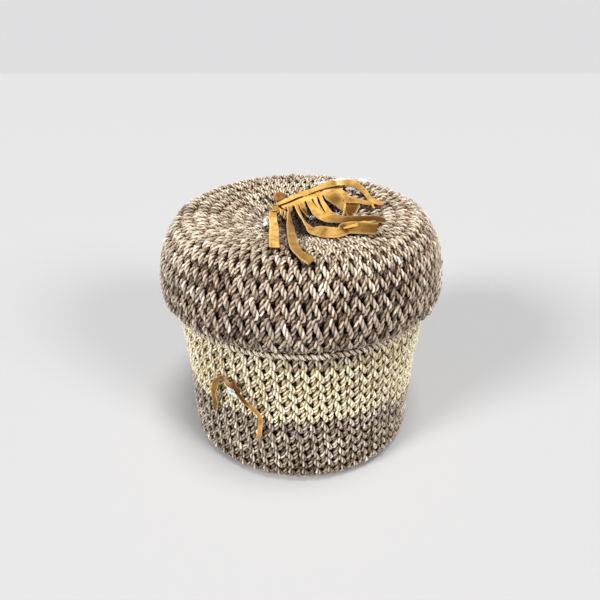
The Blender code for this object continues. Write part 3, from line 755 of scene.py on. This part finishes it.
def make_fluff(rng):
    """White batting at the lid's middle and crest and beside the tie: lumps with loose fibres."""
    at, size = LUMPS[:, :2], LUMPS[:, 2:]
    places, normals = on_lid(at[:, 0], at[:, 1], np.full(len(at), -0.0012))
    parts = [tuft(*lump, rng) for lump in zip(places, normals, size)]
    spread = np.repeat(at, WISPS_A_LUMP, axis=0) + rng.normal(0, 1, (WISPS_A_LUMP * len(at), 2)) * np.repeat(
        size[:, :2] * 0.55, WISPS_A_LUMP, axis=0)
    roots, outward = on_lid(spread[:, 0], spread[:, 1], np.full(len(spread), -0.0006))
    parts.append(wisps(roots, outward, 0.0042, 0.00011, rng))
    dress(mesh_object("lid_fluff", *join(parts)), "lid", "padding_white")

    place, normal = on_wall(np.array([-0.0016]), np.array([-0.0108]), np.zeros(1))
    lump = tuft(place[0], normal[0], (0.0024, 0.0062, 0.0018), rng)
    along, up = rng.normal(-0.0016, 0.0016, 24), rng.normal(-0.01, 0.0026, 24)
    roots, outward = on_wall(along, up, np.full(24, -0.0006))
    threads = wisps(roots, outward, 0.0034, 0.0001, rng)
    dress(mesh_object("tie_fluff", *join([lump, threads])), "basket", "padding_white")


# -------- materials

CREAM = [(255, 254, 234), (255, 250, 216), (237, 221, 173)]
TAUPE = [(249, 242, 231), (188, 178, 164), (114, 102, 90)]
TAN = [(252, 246, 224), (220, 206, 178), (152, 134, 108)]
BROWN = [(255, 251, 236), (236, 224, 202), (174, 158, 136)]
UMBER = [(250, 242, 228), (184, 170, 154), (100, 88, 74)]
EDGE = [(247, 239, 225), (208, 194, 174), (142, 124, 102)]
DARK = [(150, 136, 118), (74, 56, 44), (34, 23, 17)]
CORD_INPUTS = ["First pale", "First middle", "First deep", "Second pale", "Second middle", "Second deep", "Fleck",
               "Fleck share", "Groove", "Hollow", "Hollow reach"]
SUEDE_INPUTS = ["Light", "Deep", "Rust", "Edge"]


class Nodes:
    """Short ways to add nodes to a tree. What goes into a node is a socket, a number or a colour."""

    def __init__(self, tree):
        self.tree = tree

    def put(self, node, inputs):
        for key, value in inputs.items():
            if isinstance(value, bpy.types.NodeSocket):
                self.tree.links.new(value, node.inputs[key])
            else:
                node.inputs[key].default_value = value

    def add(self, kind, inputs=None, **settings):
        node = self.tree.nodes.new("ShaderNode" + kind)
        for key, value in settings.items():
            setattr(node, key, value)
        self.put(node, inputs or {})
        return node.outputs

    def math(self, kind, first, second=0.0):
        return self.add("Math", {0: first, 1: second}, operation=kind)[0]

    def plus(self, first, second):
        return self.math("ADD", first, second)

    def less(self, first, second):
        return self.math("SUBTRACT", first, second)

    def times(self, first, second):
        return self.math("MULTIPLY", first, second)

    def mix(self, share, first, second, kind="MIX"):
        return self.add("Mix", {0: share, 6: first, 7: second}, data_type="RGBA", blend_type=kind)[2]

    def ramp(self, value, low, high, first=0.0, second=1.0):
        """A smooth step from first to second as the value goes from low to high."""
        return self.add("MapRange", {"Value": value, "From Min": low, "From Max": high, "To Min": first,
                                               "To Max": second}, interpolation_type="SMOOTHSTEP")["Result"]

    def vector(self, *values):
        return self.add("CombineXYZ", dict(enumerate(values)))[0]

    def noise(self, vector, scale, detail):
        return self.add("TexNoise", {"Vector": vector, "Scale": scale, "Detail": detail})["Fac"]

    def value_of(self, name):
        """A named value of the mesh's points."""
        return self.add("Attribute", attribute_name=name)["Fac"]

    def surface(self):
        return self.add("UVMap", uv_map="surface")[0]

    def place(self):
        return self.add("TexCoord")["Object"]

    def bump(self, height, strength, distance):
        return self.add("Bump", {"Height": height, "Strength": strength, "Distance": distance})[0]


def group_of(name, colours, numbers=()):
    """A node group that gives a colour, a height and a roughness."""
    tree = bpy.data.node_groups.new(name, "ShaderNodeTree")
    for side, kind, labels in (("INPUT", "Color", colours), ("INPUT", "Float", numbers),
                               ("OUTPUT", "Color", ["Color"]), ("OUTPUT", "Float", ["Height", "Roughness"])):
        for label in labels:
            tree.interface.new_socket(label, in_out=side, socket_type="NodeSocket" + kind)
    return tree, Nodes(tree), tree.nodes.new("NodeGroupInput").outputs


def cord_group():
    """Three-ply cord: each ply drifts between a pale and a deep colour, with fine fibres along it. Painted shade
    darkens the grooves between the plies and, by the depth "sunk", the knit's hollows, browner as it deepens.
    """
    tree, n, given = group_of("laid cord", CORD_INPUTS[:7], CORD_INPUTS[7:])
    u, v, _ = n.add("SeparateXYZ", {0: n.surface()})
    tone = n.value_of("tone")
    third = n.times(v, float(PLIES))
    off = n.times(n.math("ABSOLUTE", n.less(n.math("FRACT", third), 0.5)), 2.0)
    marl = n.noise(n.vector(n.times(u, 34.0), n.times(n.math("FLOOR", third), 7.7), tone), 1.0, 1.5)
    fibre = n.noise(n.vector(n.times(u, 210.0), n.times(v, 42.0)), 1.0, 2.0)
    fleck = n.noise(n.vector(n.times(u, 330.0), n.times(v, 11.0)), 1.0, 0.0)
    yarns = []
    for yarn in ("First", "Second"):
        low = n.mix(n.ramp(marl, 0.28, 0.5), given[yarn + " deep"], given[yarn + " middle"])
        yarns.append(n.mix(n.ramp(marl, 0.5, 0.72), low, given[yarn + " pale"]))
    bright = n.plus(0.86, n.times(n.ramp(fibre, 0.25, 0.75), 0.24))
    fibred = n.mix(1.0, n.mix(tone, *yarns), n.vector(bright, bright, bright), "MULTIPLY")
    flecked = n.mix(n.times(n.ramp(fleck, 0.64, 0.74), given["Fleck share"]), fibred, given["Fleck"])
    # Painted shade: darker in the grooves between plies and, by the depth "sunk", in the hollows
    groove = n.less(1.0, n.times(n.math("POWER", off, 2.4), given["Groove"]))
    least = n.times(given["Hollow"], n.less(1.0, n.times(tone, 0.6)))
    shaded = n.times(groove, n.ramp(n.value_of("sunk"), 0.1, given["Hollow reach"], 1.0, least))
    warm_shade = n.vector(*(n.math("POWER", shaded, gain) for gain in (0.86, 1.08, 1.34)))
    round_ply = n.times(n.less(1.0, n.math("POWER", off, 2.0)), 0.8)
    n.put(tree.nodes.new("NodeGroupOutput"), {
        "Color": n.mix(1.0, flecked, warm_shade, "MULTIPLY"), "Height": n.plus(round_ply, n.times(fibre, 0.25)),
        "Roughness": n.plus(0.42, n.times(fibre, 0.3))})
    return tree


def suede_group():
    """Suede: nap, cloudy lighter and darker patches, faint darker streaks along the strap, partly the hide's own and
    partly painted shade of fine creases, and a painted highlight along the cut edges.
    """
    tree, n, given = group_of("suede", SUEDE_INPUTS)
    stretched = n.add("Mapping", {0: n.surface(), "Scale": (60.0, 7.0, 1.0)})[0]
    cloud, nap, streak = n.noise(n.place(), 110.0, 3.0), n.noise(n.place(), 1400.0, 2.0), n.noise(stretched, 1.0, 2.0)
    base = n.mix(n.ramp(cloud, 0.36, 0.62), given["Deep"], given["Light"])
    # Streaks toward the rust colour: partly the hide's own, partly painted shade of fine creases
    base = n.mix(n.ramp(streak, 0.54, 0.72, 0.0, 0.4), base, given["Rust"])
    base = n.mix(n.value_of("tone"), base, given["Rust"])
    # Painted highlight: the "Edge" colour along both sides of each strap, where the cut edges catch the light
    base = n.mix(n.times(n.value_of("edge"), 0.55), base, given["Edge"])
    bright = n.ramp(nap, 0.25, 0.75, 0.86, 1.1)
    n.put(tree.nodes.new("NodeGroupOutput"), {
        "Color": n.mix(1.0, base, n.vector(bright, bright, bright), "MULTIPLY"),
        "Height": n.plus(n.times(nap, 0.45), n.times(streak, 0.8)), "Roughness": n.ramp(nap, 0.2, 0.8, 0.78, 0.95)})
    return tree


def shader_of(name):
    made = bpy.data.materials.new(name)
    made.use_nodes = True
    return made, Nodes(made.node_tree), made.node_tree.nodes["Principled BSDF"]


def srgb(red, green, blue):
    """A colour as seen on a screen, 0 to 255, as linear values."""
    return tuple(((c / 255 + 0.055) / 1.055) ** 2.4 if c > 10 else c / 3294 for c in (red, green, blue)) + (1.0,)


# Cords by slot: name, two yarns, colour and share of the flecks, and the inputs of the painted shade in the groove
# and the hollows
WHITE_FLECK = (250, 244, 226)
CORDS = {
    "cord_cream": ("cream cord", *CREAM, *TAUPE, WHITE_FLECK, 0.25, 0.78, 0.22, 0.68),
    "cord_taupe": ("taupe cord", *CREAM, *TAUPE, WHITE_FLECK, 0.25, 0.9, 0.14, 0.6),
    "cord_tan": ("tan cord", *CREAM, *TAN, WHITE_FLECK, 0.25, 0.9, 0.1, 0.6),
    "cord_brown": ("brown cord", *BROWN, *UMBER, WHITE_FLECK, 0.25, 0.9, 0.06, 0.59),
    "cord_edge": ("edge cord", *EDGE, *CREAM, WHITE_FLECK, 0.3, 0.35, 0.04, 0.4),
    "cord_dark": ("dark cord", *DARK, *UMBER, (200, 196, 190), 0.8, 0.9, 0.1, 0.6)}
SUEDES = {"leather_ochre": ("ochre suede", (236, 188, 98), (196, 142, 56), (86, 52, 10), (250, 220, 150)),
          "leather_rust": ("rust suede", (204, 152, 96), (164, 112, 60), (84, 54, 24), (186, 144, 98))}
MATERIALS = {}


def grouped_material(group, labels, row, strength, distance, shading):
    """A material from a node group, with the strength and height of its relief and its shading."""
    made, n, shader = shader_of(row[0])
    given = {label: srgb(*value) if isinstance(value, tuple) else value for label, value in zip(labels, row[1:])}
    look = n.add("Group", given, node_tree=group)
    n.put(shader, {"Base Color": look["Color"], "Roughness": look["Roughness"],
                   "Normal": n.bump(look["Height"], strength, distance), **shading})
    return made


def batting_material():
    """White batting: soft grey painted shade in the hollows between bright clumps, and a fine tangle of fibres."""
    made, n, shader = shader_of("white batting")
    big, fine = n.noise(n.place(), 420.0, 4.0), n.noise(n.place(), 2200.0, 2.0)
    n.put(shader, {"Roughness": 0.95, "Normal": n.bump(n.plus(big, n.times(fine, 0.5)), 0.8, 0.0006),
                   "Base Color": n.mix(n.ramp(big, 0.32, 0.62), srgb(196, 198, 204), srgb(250, 250, 250))})
    return made


def cover_material():
    """Cloth of the pad: a fine plain weave, dark brown as painted shade seen through the gaps between the stitches,
    and darker in its hollows as painted shade.
    """
    made, n, shader = shader_of("shaded pad cloth")
    weave = n.times(*(n.add("TexWave", {"Vector": n.place(), "Scale": 240.0, "Distortion": 0.6},
                            bands_direction=way)["Fac"] for way in ("X", "Y")))
    n.put(shader, {"Roughness": 0.9, "Normal": n.bump(weave, 0.5, 0.0003),
                   "Base Color": n.mix(weave, srgb(30, 20, 14), srgb(74, 56, 42))})
    return made


def make_materials():
    cord, suede = cord_group(), suede_group()
    for slot, row in CORDS.items():
        MATERIALS[slot] = grouped_material(cord, CORD_INPUTS, row, 0.7, 0.0006, {"Specular IOR Level": 0.5})
    for slot, row in SUEDES.items():
        MATERIALS[slot] = grouped_material(suede, SUEDE_INPUTS, row, 0.5, 0.0004,
                                           {"Specular IOR Level": 0.12, "Sheen Weight": 0.05})
    MATERIALS["padding_white"], MATERIALS["shaded pad cloth"] = batting_material(), cover_material()


# -------- camera and light

def make_camera():
    data = bpy.data.cameras.new("camera")
    data.sensor_width, data.lens, data.clip_start = CAMERA_SENSOR, CAMERA_LENS, 0.01
    camera = bpy.data.objects.new("camera", data)
    camera.location = CAMERA_PLACE
    camera.rotation_euler = (math.pi / 2 - CAMERA_DOWN, 0, 0)
    bpy.context.scene.collection.objects.link(camera)
    bpy.context.scene.camera = camera


def soft_sun(name, come_from, power, spread, colour=(1, 1, 1)):
    """Even light from one side, softened over spread degrees."""
    data = bpy.data.lights.new(name, "SUN")
    data.energy, data.angle, data.color = power, math.radians(spread), colour
    light = bpy.data.objects.new(name, data)
    light.rotation_euler = Vector(come_from).to_track_quat("Z", "Y").to_euler()
    bpy.context.scene.collection.objects.link(light)


def make_studio():
    """A pale floor and backdrop, and soft light from overhead and from both front sides."""
    scene = bpy.context.scene
    scene.view_settings.view_transform = "Standard"
    world = bpy.data.worlds.new("studio")
    world.use_nodes = True
    scene.world = world
    n, made = Nodes(world.node_tree), world.node_tree.nodes
    n.put(made["Background"], {"Color": (0.96, 0.97, 1.0, 1), "Strength": 0.2})
    seen = n.add("Background", {"Color": (0.74, 0.74, 0.75, 1), "Strength": 1.0})[0]
    by_camera = n.add("LightPath")["Is Camera Ray"]
    n.put(made["World Output"], {
        "Surface": n.add("MixShader", {0: by_camera, 1: made["Background"].outputs[0], 2: seen})[0]})

    corners = [[x * FAR, y * FAR, 0] for x, y in ((-1, -1), (1, -1), (1, 1), (-1, 1))]
    floor = mesh_object("floor", corners, [[0, 1, 2, 3]])
    pale, n, shader = shader_of("pale floor")
    n.put(shader, {"Base Color": (0.5, 0.5, 0.51, 1), "Roughness": 0.9, "Specular IOR Level": 0.1})
    floor.data.materials.append(pale)

    soft_sun("overhead", (0.1, -0.15, 1.0), 2.3, 20, (1.0, 0.985, 0.95))
    soft_sun("front right", (0.95, -0.82, 0.65), 2.05, 20)
    soft_sun("front left", (-1.05, -0.72, 0.68), 2.84, 18)


def main():
    make_camera()
    make_studio()
    make_materials()
    make_tie()
    make_fringe()
    make_basket()
    make_lid()
    chain_edge("mouth_chain", "basket", MOUTH_CORD_R, MOUTH_CORD_Z, "basket_mouth_edge", 66, 41)
    chain_edge("rim_chain", "lid", RIM_R, RIM_Z, "lid_rim_edge", 74, 42)
    make_pad()
    make_fluff(np.random.default_rng(51))


main()
